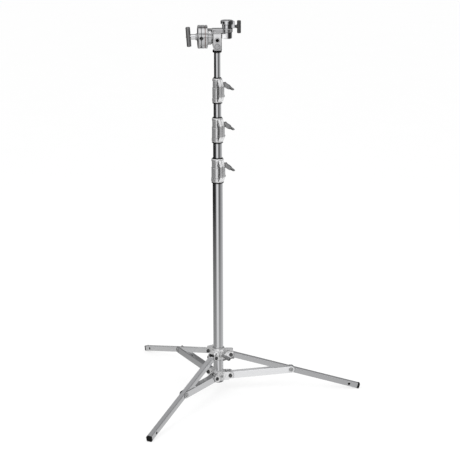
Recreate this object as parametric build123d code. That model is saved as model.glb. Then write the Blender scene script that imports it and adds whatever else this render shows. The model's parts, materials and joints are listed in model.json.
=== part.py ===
from build123d import *
import math
import os

# Wide-base telescoping grip stand: three folding legs, a four-section column with lever
# clamps, and a head that carries a disc grip jaw and a junior socket.
# Millimetres. The column stands on +Z, the floor is z = 0, and leg 1 points along +X.

# ---- column tubes: outer radius and wall of the base tube and the three risers ----
BASE_R = 25.4
RISER_R = [22.225, 19.05, 15.875]
BASE_WALL = 1.9
RISER_WALL = [2.0, 2.0, 1.7]
BASE_LOW = 60.0
RISER_LOW = [100.0, 136.0, 172.0]
TUBE_INTO_CLAMP = 62.0
GUIDE_HEIGHT = 34.0
GUIDE_FLOOR = 6.0
RUNNING_GAP = 0.05

# ---- clamps: floor height of each casting's bottom face and its height ----
CLAMP_LOW = [1116.0, 1320.0, 1519.0]
CLAMP_HEIGHT = [124.0, 126.0, 125.0]
CLAMP_AZIMUTH = -60.0
CLAMP_WALL = 4.3
CLAMP_RING_HEIGHT = 5.0
EAR_HALF_WIDTH = 15.0
EAR_REACH = 17.0
EAR_SLOT = 1.6
BUSH_WALL = 2.1
LEVER_DROOP = 8.0
LEVER_LENGTH = 84.0
LEVER_THICK = 10.5
LEVER_HUB_R = 12.5

# ---- base linkage, measured in the vertical plane of one leg ----
LEG_AZIMUTHS = [0.0, 120.0, 240.0]
FOOT_RADIUS = 729.0
FOOT_HEIGHT = 13.6
LEG_PIVOT = (64.3, 204.6)
BRACE_PIVOT = (60.7, 91.3)
MID_PIVOT_RADIUS = 375.7
PIVOT_BOLT_R = 5.0

# ---- leg: closed square tube ----
LEG_SIDE = 27.0
LEG_WALL = 2.0
LEG_CORNER = 3.5
LEG_STUB = 13.5
LEG_BOSS_R = 9.0
WHEEL_HOLE_R = 5.5
WHEEL_HOLE_BACK = 52.0
FOOT_SIDE = 28.0
FOOT_BACK = 6.0
FOOT_FRONT = 5.0
FOOT_PLUG = 26.0

# ---- brace: channel with its web on top ----
BRACE_WIDTH = 33.0
BRACE_HEIGHT = 35.0
BRACE_WALL = 2.2
BRACE_CORNER = 4.5
WEB_NOTCH = 110.0
WEB_NOTCH_R = 27.6

# ---- collars ----
COLLAR_R = 33.0
COLLAR_BUSH_WALL = 2.0
LEG_COLLAR_LOW = 181.0
LEG_COLLAR_HIGH = 233.0
FOOT_COLLAR_LOW = 68.0
FOOT_COLLAR_HIGH = 113.0
FORK_PLATE = 5.5
FORK_REACH = 76.5
FORK_GAP = 0.6
KNOB_AZIMUTH = -60.0
KNOB_RADIUS = 95.0
KNOB_BAR_HALF = 30.0

# ---- head ----
HEAD_LOW = 1783.5
HEAD_HIGH = 1867.0
HEAD_HALF = 22.5
ARM_LOW = 1867.0
ARM_HIGH = 1889.0
ARM_RECESS = 2.5
SOCKET_X = 48.0
SOCKET_BORE_R = 14.4
SOCKET_FLOOR = 1846.0
SOCKET_LOW = 1840.0
SOCKET_HIGH = 1928.0
SOCKET_SCREW_Z = 1898.0
GRIP_Z = 1848.7
GRIP_DISC_R = 57.15
GRIP_MEET_X = -78.5
GRIP_ROD_R = 8.0
GRIP_ROD_OFFSET = 25.5
GRIP_GROOVE_TURN = 26.5
GRIP_BAR_R = 11.3
GRIP_BAR_LEAN = 4.0
HEAD_SCREW_R = 11.5
FRICTION_DISC_INSET = 2.2
HUB_SCREW_TURNS = [-41.0, 37.0, 139.0, 217.0]


# ---- small shape helpers ----
def rod_z(radius, low, high, x=0.0, y=0.0):
    return Pos(x, y, (low + high) / 2) * Cylinder(radius, high - low)


def rod_x(radius, low, high, y=0.0, z=0.0):
    return Pos((low + high) / 2, y, z) * Rot(Y=90) * Cylinder(radius, high - low)


def rod_y(radius, low, high, x=0.0, z=0.0):
    return Pos(x, (low + high) / 2, z) * Rot(X=90) * Cylinder(radius, high - low)


def block(x_low, x_high, y_low, y_high, z_low, z_high):
    centre = Pos((x_low + x_high) / 2, (y_low + y_high) / 2, (z_low + z_high) / 2)
    return centre * Box(x_high - x_low, y_high - y_low, z_high - z_low)


def tube_z(outer, inner, low, high):
    return rod_z(outer, low, high) - rod_z(inner, low - 1, high + 1)


def turned(points):
    """Solid of revolution about Z from (radius, height) points."""
    outline = Polyline(*[(radius, 0, height) for radius, height in points], close=True)
    return revolve(make_face(outline), Axis.Z)


def turned_x(points, z):
    """Solid of revolution about the line y = 0, height z, from (x, radius) points."""
    outline = Polyline(*[(x, 0, z + radius) for x, radius in points], close=True)
    return revolve(make_face(outline), Axis((0, 0, z), (1, 0, 0)))


def slab(points, y_low, y_high):
    """Plate cut to an (x, z) outline, between two y positions."""
    outline = make_face(Polyline(*[(x, y_low, z) for x, z in points], close=True))
    return extrude(outline, amount=y_high - y_low, dir=(0, 1, 0))


def hexagon_y(radius, low, high, x, z):
    outline = Plane.XZ * RegularPolygon(radius, 6)
    solid = extrude(outline, amount=high - low, dir=(0, 1, 0))
    return Pos(x, low, z) * solid


def turn_z(azimuth, shape):
    return Rot(Z=azimuth) * shape


def save(node, *solids):
    shape = solids[0] if len(solids) == 1 else Compound(children=list(solids))
    export_step(shape, f"parts/{node}.step")


# ---- linkage geometry ----
def leg_slope():
    run = FOOT_RADIUS - LEG_PIVOT[0]
    drop = LEG_PIVOT[1] - FOOT_HEIGHT
    return math.degrees(math.atan2(drop, run))


def leg_length():
    return math.hypot(FOOT_RADIUS - LEG_PIVOT[0], LEG_PIVOT[1] - FOOT_HEIGHT)


def mid_pivot():
    run = MID_PIVOT_RADIUS - LEG_PIVOT[0]
    return (MID_PIVOT_RADIUS, LEG_PIVOT[1] - run * math.tan(math.radians(leg_slope())))


def brace_slope():
    radius, height = mid_pivot()
    return math.degrees(math.atan2(height - BRACE_PIVOT[1], radius - BRACE_PIVOT[0]))


def brace_length():
    radius, height = mid_pivot()
    return math.hypot(radius - BRACE_PIVOT[0], height - BRACE_PIVOT[1])


# ---- legs ----
def leg_frame():
    """Origin at the leg's pivot, x along the leg towards its foot."""
    return Pos(LEG_PIVOT[0], 0, LEG_PIVOT[1]) * Rot(Y=leg_slope())


def make_leg():
    length = leg_length()
    half = LEG_SIDE / 2
    start = Pos(-LEG_STUB, 0, 0)
    bore = LEG_SIDE - 2 * LEG_WALL
    tube_length = length + LEG_STUB - FOOT_BACK
    leg = start * extrude(Plane.YZ * RectangleRounded(LEG_SIDE, LEG_SIDE, LEG_CORNER), tube_length)
    inside = Plane.YZ * RectangleRounded(bore, bore, LEG_CORNER - LEG_WALL)
    leg -= Pos(-LEG_STUB - 1, 0, 0) * extrude(inside, tube_length + 2)
    leg += rod_y(LEG_BOSS_R, -half + 1, half - 1)
    leg -= rod_y(PIVOT_BOLT_R + RUNNING_GAP, -half - 1, half + 1)
    leg -= rod_y(WHEEL_HOLE_R, -half - 1, half + 1, x=length - WHEEL_HOLE_BACK)
    return leg_frame() * leg


def make_foot():
    """Moulded end plug: a block over the tube's end, with a flat sole at floor level, and a plug inside it."""
    length = leg_length()
    start = length - FOOT_BACK
    cap = extrude(Plane.YZ * RectangleRounded(FOOT_SIDE, FOOT_SIDE, LEG_CORNER + 1), FOOT_BACK + FOOT_FRONT)
    cap = Pos(start, 0, 0) * cap
    cap = chamfer(cap.edges().filter_by(Plane.YZ).group_by(Axis.X)[-1], 1.5)
    plug_side = LEG_SIDE - 2 * LEG_WALL
    plug = Plane.YZ * RectangleRounded(plug_side, plug_side, LEG_CORNER - LEG_WALL)
    cap += Pos(start - FOOT_PLUG, 0, 0) * extrude(plug, FOOT_PLUG + 1)
    cap = leg_frame() * cap
    floor = block(FOOT_RADIUS - 60, FOOT_RADIUS + 60, -FOOT_SIDE, FOOT_SIDE, -40, 0)
    return cap - floor


# ---- braces ----
def brace_frame():
    """Origin at the brace's lower pivot, x along the brace towards the leg."""
    return Pos(BRACE_PIVOT[0], 0, BRACE_PIVOT[1]) * Rot(Y=-brace_slope())


def make_brace():
    length = brace_length()
    half_width = BRACE_WIDTH / 2
    half_height = BRACE_HEIGHT / 2
    inner_half = half_width - BRACE_WALL
    bar = block(-half_height, length + half_height, -half_width, half_width, -half_height, half_height)
    top = bar.edges().filter_by(Axis.X).group_by(Axis.Z)[-1]
    bar = fillet(top, BRACE_CORNER)
    hollow_top = half_height - BRACE_WALL
    hollow = block(-half_height - 1, length + half_height + 1, -inner_half, inner_half, -half_height - 1, hollow_top)
    hollow = fillet(hollow.edges().filter_by(Axis.X).group_by(Axis.Z)[-1], BRACE_CORNER - BRACE_WALL)
    side = rod_y(half_height, -half_width - 1, half_width + 1)
    side += rod_y(half_height, -half_width - 1, half_width + 1, x=length)
    side += block(0, length, -half_width - 1, half_width + 1, -half_height, half_height)
    opening = block(0, length + 40, -inner_half, inner_half, 0, 30)
    notch_centre = length - WEB_NOTCH + WEB_NOTCH_R
    notch = block(notch_centre, length + 40, -inner_half, inner_half, 0, 30)
    notch += rod_z(WEB_NOTCH_R, 0, 30, x=notch_centre) & opening
    root = rod_z(inner_half, 0, 30, x=-4) + block(-40, -4, -inner_half, inner_half, 0, 30)
    brace = (bar - hollow) & side
    brace = brace - notch - root
    holes = rod_y(PIVOT_BOLT_R + RUNNING_GAP, -half_width - 1, half_width + 1)
    holes += rod_y(PIVOT_BOLT_R, -half_width - 1, half_width + 1, x=length)
    return brace_frame() * (brace - holes)


def make_brace_studs():
    """The two headed studs at the leg crossing; the leg runs free between them."""
    half_width = BRACE_WIDTH / 2
    inner_half = half_width - BRACE_WALL
    length = brace_length()
    studs = []
    for side in (-1, 1):
        low, high = sorted((side * inner_half, side * (half_width + 1)))
        stud = rod_y(PIVOT_BOLT_R, low, high, x=length)
        low, high = sorted((side * half_width, side * (half_width + 5.5)))
        head = rod_y(9.5, low, high, x=length)
        outer_edge = head.edges().sort_by(Axis.Y)[-1 if side > 0 else 0]
        head = fillet(outer_edge, 3.0)
        socket = rod_y(3.2, *sorted((side * (half_width + 2.5), side * (half_width + 9))), x=length)
        studs.append(brace_frame() * (stud + head - socket))
    return studs


# ---- forked collars ----
def fork(inner_half, outline, pivot, nose_r):
    """Two cheek plates of one bracket at azimuth 0, with a round nose about the pivot."""
    cheeks = []
    for low, high in ((inner_half, inner_half + FORK_PLATE), (-inner_half - FORK_PLATE, -inner_half)):
        cheek = slab(outline, low, high)
        cheek += rod_y(nose_r, low, high, x=pivot[0], z=pivot[1])
        cheek -= rod_y(PIVOT_BOLT_R, low - 1, high + 1, x=pivot[0], z=pivot[1])
        cheeks.append(cheek)
    return cheeks[0] + cheeks[1]


def make_leg_collar():
    inner_half = LEG_SIDE / 2 + FORK_GAP
    low, high = LEG_COLLAR_LOW, LEG_COLLAR_HIGH
    bore = BASE_R + COLLAR_BUSH_WALL
    outline = [(22, low + 3), (LEG_PIVOT[0] - 8, low + 9), (LEG_PIVOT[0], low + 11), (FORK_REACH, low + 22),
               (FORK_REACH, high - 6), (FORK_REACH - 4, high - 2), (22, high - 2)]
    hub = turned([(bore, low), (COLLAR_R - 2, low), (COLLAR_R, low + 2), (COLLAR_R, high - 4),
                  (COLLAR_R - 1.5, high), (bore + 4, high + 8), (bore, high + 8)])
    collar = hub
    for azimuth in LEG_AZIMUTHS:
        bracket = fork(inner_half, outline, LEG_PIVOT, 13.0)
        roof_half = inner_half + FORK_PLATE
        bracket += block(24, FORK_REACH - 4, -roof_half, roof_half, high - 7, high - 2)
        collar += turn_z(azimuth, bracket)
    boss = rod_x(11, 26, 42, z=(low + high) / 2)
    collar += turn_z(KNOB_AZIMUTH, boss)
    collar -= rod_z(bore, low - 5, high + 12)
    screw_hole = rod_x(6.05, 20, 50, z=(low + high) / 2)
    collar -= turn_z(KNOB_AZIMUTH, screw_hole)
    return collar


def make_leg_collar_bush():
    bush = tube_z(BASE_R + COLLAR_BUSH_WALL, BASE_R + RUNNING_GAP, LEG_COLLAR_LOW, LEG_COLLAR_HIGH + 8)
    window = rod_x(6.1, 20, 32, z=(LEG_COLLAR_LOW + LEG_COLLAR_HIGH) / 2)
    return bush - turn_z(KNOB_AZIMUTH, window)


def make_foot_collar():
    inner_half = BRACE_WIDTH / 2 + FORK_GAP
    low, high = FOOT_COLLAR_LOW, FOOT_COLLAR_HIGH
    outline = [(22, low), (48, low), (BRACE_PIVOT[0] - 2, low + 6), (BRACE_PIVOT[0] + 12, low + 10),
               (FORK_REACH - 1, low + 22), (FORK_REACH - 3, high - 8), (FORK_REACH - 12, high - 1), (22, high - 1)]
    collar = turned([(BASE_R, low), (COLLAR_R - 2, low), (COLLAR_R, low + 2), (COLLAR_R, high - 3),
                     (COLLAR_R - 2, high), (BASE_R, high)])
    for azimuth in LEG_AZIMUTHS:
        bracket = fork(inner_half, outline, BRACE_PIVOT, 15.0)
        floor_half = inner_half + FORK_PLATE
        bracket += block(24, 46, -floor_half, floor_half, low, low + 4)
        collar += turn_z(azimuth, bracket)
    collar -= rod_z(BASE_R, low - 5, high + 5)
    for azimuth in LEG_AZIMUTHS:
        collar -= turn_z(azimuth + 60, rod_x(3.0, 24, 40, z=(low + high) / 2))
    return collar


def make_foot_collar_screws():
    middle = (FOOT_COLLAR_LOW + FOOT_COLLAR_HIGH) / 2
    screw = rod_x(3.0, BASE_R, COLLAR_R + 1, z=middle)
    screw += rod_x(5.5, COLLAR_R, COLLAR_R + 5, z=middle)
    screw -= rod_x(2.2, COLLAR_R + 2, COLLAR_R + 6, z=middle)
    return [turn_z(azimuth + 60, screw) for azimuth in LEG_AZIMUTHS]


def make_pivot_bolts(pivot, inner_half):
    """One headed bolt, washer and nut in each of the three forks."""
    x, z = pivot
    outer = inner_half + FORK_PLATE
    bolts = []
    for azimuth in LEG_AZIMUTHS:
        bolt = rod_y(PIVOT_BOLT_R, -outer, outer + 9, x=x, z=z)
        bolt += rod_y(9.5, -outer - 1.5, -outer, x=x, z=z)
        bolt += hexagon_y(8.6, -outer - 8, -outer - 1.5, x, z)
        bolt += rod_y(9.5, outer, outer + 1.5, x=x, z=z)
        bolt += hexagon_y(8.6, outer + 1.5, outer + 7.5, x, z)
        bolts.append(turn_z(azimuth, bolt))
    return bolts


def make_collar_pad():
    middle = (LEG_COLLAR_LOW + LEG_COLLAR_HIGH) / 2
    pad = rod_x(5.6, BASE_R - 1.0, BASE_R + 4.5, z=middle)
    pad -= rod_z(BASE_R + 0.3, middle - 10, middle + 10)
    return turn_z(KNOB_AZIMUTH, pad)


def make_collar_knob():
    """T-handle of the leg lock: screw, turned hub, and a cross bar with a ball on each end."""
    middle = (LEG_COLLAR_LOW + LEG_COLLAR_HIGH) / 2
    end = KNOB_RADIUS
    knob = rod_x(5.95, BASE_R + 4.5, end - 20, z=middle)
    knob += turned_x([(end - 42, 0), (end - 42, 7.5), (end - 30, 9), (end - 9, 10), (end + 6, 10),
                      (end + 9, 7.5), (end + 9, 0)], middle)
    knob -= rod_x(3.0, end + 6, end + 12, z=middle)
    bar = rod_y(4.0, -KNOB_BAR_HALF, KNOB_BAR_HALF, x=end, z=middle)
    for side in (-1, 1):
        bar += Pos(end, side * (KNOB_BAR_HALF - 1), middle) * Sphere(5.6)
    return turn_z(KNOB_AZIMUTH, knob + bar)


# ---- column ----
def make_column_tube(radius, wall, low, high):
    return tube_z(radius, radius - wall, low, high)


def make_base_plug():
    plug = rod_z(BASE_R, BASE_LOW - 5, BASE_LOW) + rod_z(BASE_R - BASE_WALL, BASE_LOW - 5, BASE_LOW + 14)
    return chamfer(plug.edges().group_by(Axis.Z)[0], 2)


def make_guide(radius, wall, low, outer_bore):
    """Slide guide on a riser's foot: a sleeve outside the tube and a plug inside it."""
    guide = rod_z(outer_bore - RUNNING_GAP, low - GUIDE_FLOOR, low + GUIDE_HEIGHT - GUIDE_FLOOR)
    return guide - tube_z(radius, radius - wall, low, low + GUIDE_HEIGHT)


# ---- clamps ----
def clamp_radii(index):
    below = BASE_R if index == 0 else RISER_R[index - 1]
    return below, RISER_R[index]


def clamp_place(index, shape):
    return turn_z(CLAMP_AZIMUTH, Pos(0, 0, CLAMP_LOW[index]) * shape)


def lever_axis(index):
    """Radius and height above the casting's foot of the lever bolt."""
    below, _ = clamp_radii(index)
    return below + CLAMP_WALL + 8.5, CLAMP_HEIGHT[index] - 29.0


def screw_axis(index):
    below, _ = clamp_radii(index)
    return below + CLAMP_WALL + 8.5, 40.0


def make_clamp(index):
    below, above = clamp_radii(index)
    height = CLAMP_HEIGHT[index]
    body = below + CLAMP_WALL
    upper_bore = above + BUSH_WALL
    casting = turned([
        (below, CLAMP_RING_HEIGHT), (body, CLAMP_RING_HEIGHT), (body + 2.4, CLAMP_RING_HEIGHT + 5),
        (body + 2.4, 24), (body + 0.2, 25), (body + 0.2, 28), (body + 0.9, 29),
        (body + 0.9, 76), (body - 0.9, 78), (body - 0.9, height - 15), (body + 0.9, height - 13),
        (body + 0.9, height - 3), (body - 1.5, height), (upper_bore, height),
        (upper_bore, TUBE_INTO_CLAMP), (below, TUBE_INTO_CLAMP)])
    reach = body + EAR_REACH
    ear = slab([(body - 6, 12), (body + 5, 12), (reach - 1.5, 32), (reach, 35), (reach, height - 36),
                (reach - 1.5, height - 33), (body + 2, height - 5), (body - 6, height - 5)],
               -EAR_HALF_WIDTH, EAR_HALF_WIDTH)
    casting += ear
    casting -= rod_z(below, 0, TUBE_INTO_CLAMP)
    casting -= rod_z(upper_bore, TUBE_INTO_CLAMP, height + 1)
    casting -= block(above, reach + 5, -EAR_SLOT / 2, EAR_SLOT / 2, 28, height + 1)
    span = EAR_HALF_WIDTH + 1
    x, z = lever_axis(index)
    casting -= rod_y(4.1, -span, span, x=x, z=z)
    x, z = screw_axis(index)
    casting -= rod_y(3.0, -span, span, x=x, z=z)
    return clamp_place(index, casting)


def make_clamp_bush(index):
    _, above = clamp_radii(index)
    height = CLAMP_HEIGHT[index]
    bush = tube_z(above + BUSH_WALL, above + RUNNING_GAP, TUBE_INTO_CLAMP, height)
    bush += tube_z(above + BUSH_WALL + 1.5, above + RUNNING_GAP, height, height + 1.6)
    return clamp_place(index, bush)


def make_clamp_ring(index):
    below, _ = clamp_radii(index)
    ring = turned([(below, 0), (below + 4.2, 0), (below + 5.2, 1), (below + 5.2, CLAMP_RING_HEIGHT),
                   (below, CLAMP_RING_HEIGHT)])
    return clamp_place(index, ring)


def make_clamp_screw(index):
    x, z = screw_axis(index)
    screw = rod_y(3.0, -EAR_HALF_WIDTH - 5, EAR_HALF_WIDTH + 2, x=x, z=z)
    screw += rod_y(5.2, EAR_HALF_WIDTH, EAR_HALF_WIDTH + 5.5, x=x, z=z)
    screw -= rod_y(2.4, EAR_HALF_WIDTH + 2.5, EAR_HALF_WIDTH + 7, x=x, z=z)
    screw += hexagon_y(5.8, -EAR_HALF_WIDTH - 4.5, -EAR_HALF_WIDTH, x, z)
    return clamp_place(index, screw)


def make_lever(index):
    """Cast lever in the vertical plane beside the ear, drooping a little from level."""
    x, z = lever_axis(index)
    low = EAR_HALF_WIDTH + 1.0
    high = low + LEVER_THICK
    blade = slab([(0, 11.2), (38, 10.2), (45, 9.0), (54, 4.6), (LEVER_LENGTH - 6, 2.6), (LEVER_LENGTH - 6, -5.4),
                  (56, -7.2), (44, -11.2), (34, -12.0), (0, -11.2)], low, high)
    blade += rod_y(4.0, low, high, x=LEVER_LENGTH - 6, z=-1.4)
    edges = blade.edges().filter_by(Axis.Y, reverse=True)
    blade = chamfer(edges.filter_by(GeomType.LINE), 1.2)
    blade += rod_y(LEVER_HUB_R, low - 0.6, high + 1.2)
    blade -= rod_y(4.0, low - 2, high + 3)
    blade -= rod_y(7.4, high - 2.5, high + 3)
    lever = Pos(x, 0, z) * Rot(Y=LEVER_DROOP) * blade
    return clamp_place(index, lever)


def make_lever_bolt(index):
    x, z = lever_axis(index)
    low = EAR_HALF_WIDTH + 1.0
    head_face = low + LEVER_THICK - 2.5
    bolt = rod_y(4.0, -EAR_HALF_WIDTH - 9, head_face, x=x, z=z)
    bolt += rod_y(7.2, head_face, head_face + 5, x=x, z=z)
    bolt -= rod_y(3.4, head_face + 1.5, head_face + 6, x=x, z=z)
    bolt += hexagon_y(7.6, -EAR_HALF_WIDTH - 7, -EAR_HALF_WIDTH - 0.4, x, z)
    return clamp_place(index, bolt)


# ---- head ----
def make_head_ring():
    inner = RISER_R[2]
    return turned([(inner, HEAD_LOW - 11), (21.5, HEAD_LOW - 11), (22.3, HEAD_LOW - 10), (22.3, HEAD_LOW),
                   (inner, HEAD_LOW)])


def make_head_body():
    body = block(-HEAD_HALF, HEAD_HALF, -HEAD_HALF, HEAD_HALF, HEAD_LOW, HEAD_HIGH)
    body = fillet(body.edges().filter_by(Axis.Z), 5)
    wedge = slab([(-HEAD_HALF - 1, HEAD_LOW - 1), (-HEAD_HALF + 7, HEAD_LOW - 1), (-HEAD_HALF - 1, HEAD_LOW + 26)],
                 -HEAD_HALF - 1, HEAD_HALF + 1)
    body -= wedge
    groove = block(-30, 30, -30, 30, HEAD_HIGH - 4, HEAD_HIGH) - block(-20, 20, -20, 20, HEAD_HIGH - 5, HEAD_HIGH + 1)
    body -= groove
    body -= rod_z(RISER_R[2], HEAD_LOW - 1, HEAD_LOW + 57)
    body -= rod_y(HEAD_SCREW_R, -HEAD_HALF - 1, -HEAD_HALF + 5, z=1833)
    body -= rod_y(12.2, -HEAD_HALF - 1, -HEAD_HALF + 2, z=1803)
    body -= block(SOCKET_X - 26.5, 60, -26.5, 26.5, SOCKET_LOW - 2, ARM_LOW) & rod_z(26.5, 1830, 1900, x=SOCKET_X)
    return body


def make_head_arm():
    arm = block(-24, SOCKET_X, -20, 20, ARM_LOW + 3, ARM_HIGH)
    arm += rod_z(28.6, ARM_LOW + 5, ARM_HIGH, x=SOCKET_X)
    arm = arm + block(-20, 20, -18, 18, ARM_LOW, ARM_LOW + 4)
    edges = arm.edges().group_by(Axis.Z)[-1]
    arm = chamfer(edges, 1.8)
    arm += block(-44, -23, -13, 13, ARM_LOW + 3, ARM_HIGH - 1)
    recess = block(-20, 60, -30, -20 + ARM_RECESS, ARM_LOW + 7, ARM_HIGH - 4.5)
    arm -= recess - rod_z(27.2, 1800, 1900, x=SOCKET_X)
    arm -= rod_z(SOCKET_BORE_R + 8, ARM_LOW - 5, ARM_HIGH + 5, x=SOCKET_X)
    arm -= rod_y(4.5, -25, -15, x=-10.5, z=ARM_LOW + 9.5)
    return arm


def make_junior_receiver():
    bore = SOCKET_BORE_R
    body = turned([(0, SOCKET_LOW), (23, SOCKET_LOW), (25.5, SOCKET_LOW + 3), (25.5, ARM_LOW + 3),
                   (bore + 8, ARM_LOW + 3), (bore + 8, ARM_HIGH), (23.8, ARM_HIGH), (23.8, SOCKET_HIGH - 19),
                   (30, SOCKET_HIGH - 17), (31, SOCKET_HIGH - 15), (31, SOCKET_HIGH - 2), (29, SOCKET_HIGH),
                   (0, SOCKET_HIGH)])
    body = Pos(SOCKET_X, 0, 0) * body
    boss = block(SOCKET_X + 10, SOCKET_X + 38, -12, 12, ARM_HIGH + 0.5, SOCKET_HIGH - 4)
    boss = fillet(boss.edges().filter_by(Axis.X), 5)
    boss = chamfer(boss.faces().sort_by(Axis.X)[-1].edges(), 2)
    body += boss
    body -= rod_z(bore, SOCKET_FLOOR, SOCKET_HIGH + 1, x=SOCKET_X)
    funnel = turned([(0, SOCKET_HIGH - 2), (bore, SOCKET_HIGH - 2), (bore + 2.5, SOCKET_HIGH + 0.5), (0, SOCKET_HIGH + 0.5)])
    body -= Pos(SOCKET_X, 0, 0) * funnel
    body -= rod_x(6.05, SOCKET_X + 5, SOCKET_X + 45, z=SOCKET_SCREW_Z)
    body -= rod_x(7.5, SOCKET_X + 5, SOCKET_X + 24, z=SOCKET_SCREW_Z)
    return body


def make_socket_pad():
    pad = rod_x(7.2, SOCKET_X + SOCKET_BORE_R - 1, SOCKET_X + SOCKET_BORE_R + 5, z=SOCKET_SCREW_Z)
    clear = rod_z(SOCKET_BORE_R + 0.4, SOCKET_FLOOR, SOCKET_HIGH, x=SOCKET_X)
    return pad - clear


def make_socket_handle():
    start = SOCKET_X + SOCKET_BORE_R + 5
    handle = rod_x(5.95, start, SOCKET_X + 52, z=SOCKET_SCREW_Z)
    handle += turned_x([(SOCKET_X + 42, 0), (SOCKET_X + 42, 8), (SOCKET_X + 44, 9), (SOCKET_X + 54, 7.5),
                        (SOCKET_X + 54, 0)], SOCKET_SCREW_Z)
    bar = rod_z(9.6, SOCKET_SCREW_Z - 33, SOCKET_SCREW_Z + 29, x=SOCKET_X + 59)
    bar = chamfer(bar.edges().filter_by(GeomType.CIRCLE), 2.4)
    return handle + bar


def make_grip_hub():
    hub = turned_x([(-HEAD_HALF, 0), (-HEAD_HALF, 30), (-28, 36), (-31, 39.5), (-46, 39.5), (-46, 0)], GRIP_Z)
    hub -= block(-45, -22, -13.2, 13.2, ARM_LOW + 2.8, ARM_HIGH + 10)
    hub -= block(-24.5, -22, -20.5, 20.5, ARM_LOW + 2.8, ARM_HIGH + 10)
    hub -= rod_x(6.3, -47, -22, z=GRIP_Z)
    for turn in HUB_SCREW_TURNS:
        hub -= hub_screw_place(turn, rod_y(3.4, -45, -38.8, x=-38.5))
    return hub


def hub_screw_place(turn, shape):
    return Pos(0, 0, GRIP_Z) * Rot(X=-turn) * shape


def make_head_screws():
    screw = rod_y(HEAD_SCREW_R, -HEAD_HALF - 1.5, -HEAD_HALF + 5, z=1833)
    screw -= rod_y(HEAD_SCREW_R - 2.5, -HEAD_HALF - 2, -HEAD_HALF, z=1833)
    screw -= rod_y(4.2, -HEAD_HALF - 3, -HEAD_HALF + 4.5, z=1833)
    screws = [screw]
    cover = rod_y(12.2, -HEAD_HALF - 1, -HEAD_HALF + 2, z=1803)
    cover -= rod_y(2.2, -HEAD_HALF - 2, -HEAD_HALF + 1, x=7.0, z=1806)
    screws.append(cover)
    arm_screw = rod_y(4.5, -19.5, -15, x=-10.5, z=ARM_LOW + 9.5)
    arm_screw -= rod_y(2.4, -20.5, -17, x=-10.5, z=ARM_LOW + 9.5)
    screws.append(arm_screw)
    for turn in HUB_SCREW_TURNS:
        screws.append(hub_screw_place(turn, rod_y(3.4, -41.0, -38.8, x=-38.5)))
    return screws


def make_grip_back_plate():
    plate = turned_x([(-46, 0), (-46, 50), (-48, GRIP_DISC_R - 1), (-49, GRIP_DISC_R), (-57, GRIP_DISC_R),
                      (-58, GRIP_DISC_R - 1), (-58, 0)], GRIP_Z)
    return plate - rod_x(6.3, -60, -40, z=GRIP_Z)


def make_friction_disc():
    radius = GRIP_DISC_R - FRICTION_DISC_INSET
    return rod_x(radius, -61, -58, z=GRIP_Z) - rod_x(6.3, -63, -50, z=GRIP_Z)


def jaw_grooves():
    """Rod channels between the jaws: one diamond groove on each side of the screw."""
    grooves = []
    for side, radius in ((1, GRIP_ROD_R), (-1, 4.8)):
        offset = GRIP_ROD_OFFSET * side
        groove = rod_y(radius, -70, 70, x=GRIP_MEET_X, z=GRIP_Z + offset)
        flare = radius * math.sqrt(2)
        diamond = slab([(GRIP_MEET_X - flare, GRIP_Z + offset), (GRIP_MEET_X, GRIP_Z + offset + flare),
                        (GRIP_MEET_X + flare, GRIP_Z + offset), (GRIP_MEET_X, GRIP_Z + offset - flare)], -70, -46)
        grooves.append(groove + diamond)
    both = grooves[0] + grooves[1]
    return Pos(0, 0, GRIP_Z) * Rot(X=GRIP_GROOVE_TURN) * Pos(0, 0, -GRIP_Z) * both


def make_inner_jaw():
    jaw = turned_x([(-61.2, 0), (-61.2, GRIP_DISC_R - 1), (-62.2, GRIP_DISC_R), (GRIP_MEET_X + 1.8, GRIP_DISC_R),
                    (GRIP_MEET_X + 0.8, GRIP_DISC_R - 1), (GRIP_MEET_X + 0.8, 0)], GRIP_Z)
    return jaw - jaw_grooves() - rod_x(6.3, -90, -55, z=GRIP_Z)


def make_outer_jaw():
    jaw = turned_x([(GRIP_MEET_X - 0.8, 0), (GRIP_MEET_X - 0.8, GRIP_DISC_R - 1), (GRIP_MEET_X - 1.8, GRIP_DISC_R),
                    (-92, GRIP_DISC_R), (-95, GRIP_DISC_R - 3), (-96.5, 44), (-96.5, 17), (-98.5, 16), (-98.5, 0)], GRIP_Z)
    return jaw - jaw_grooves() - rod_x(6.3, -100, -70, z=GRIP_Z)


def make_grip_handle():
    screw = rod_x(6.25, -100, -30, z=GRIP_Z)
    sleeve = turned_x([(-98.7, 0), (-98.7, 17), (-102, 17.5), (-105, 13.6), (-128, 13.6), (-132, 11), (-132, 0)], GRIP_Z)
    bar = rod_z(GRIP_BAR_R, GRIP_Z - 48, GRIP_Z + 48, x=-139.5)
    bar = chamfer(bar.edges().filter_by(GeomType.CIRCLE), 2.2)
    lean = Pos(-139.5, 0, GRIP_Z) * Rot(Y=-GRIP_BAR_LEAN) * Pos(139.5, 0, -GRIP_Z)
    nub = rod_x(4.2, -152, -140, z=GRIP_Z)
    return screw + sleeve + lean * bar + nub


# ---- write every node ----
def write_base():
    save("base_tube", make_column_tube(BASE_R, BASE_WALL, BASE_LOW, CLAMP_LOW[0] + TUBE_INTO_CLAMP))
    save("base_tube_plug", make_base_plug())
    save("bottom_collar", make_foot_collar())
    save("bottom_collar_screws", *make_foot_collar_screws())
    save("brace_pivot_bolts", *make_pivot_bolts(BRACE_PIVOT, BRACE_WIDTH / 2 + FORK_GAP))
    save("leg_collar", make_leg_collar())
    save("leg_collar_bush", make_leg_collar_bush())
    save("leg_pivot_bolts", *make_pivot_bolts(LEG_PIVOT, LEG_SIDE / 2 + FORK_GAP))
    save("collar_lock_pad", make_collar_pad())
    save("collar_lock_knob", make_collar_knob())


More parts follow.
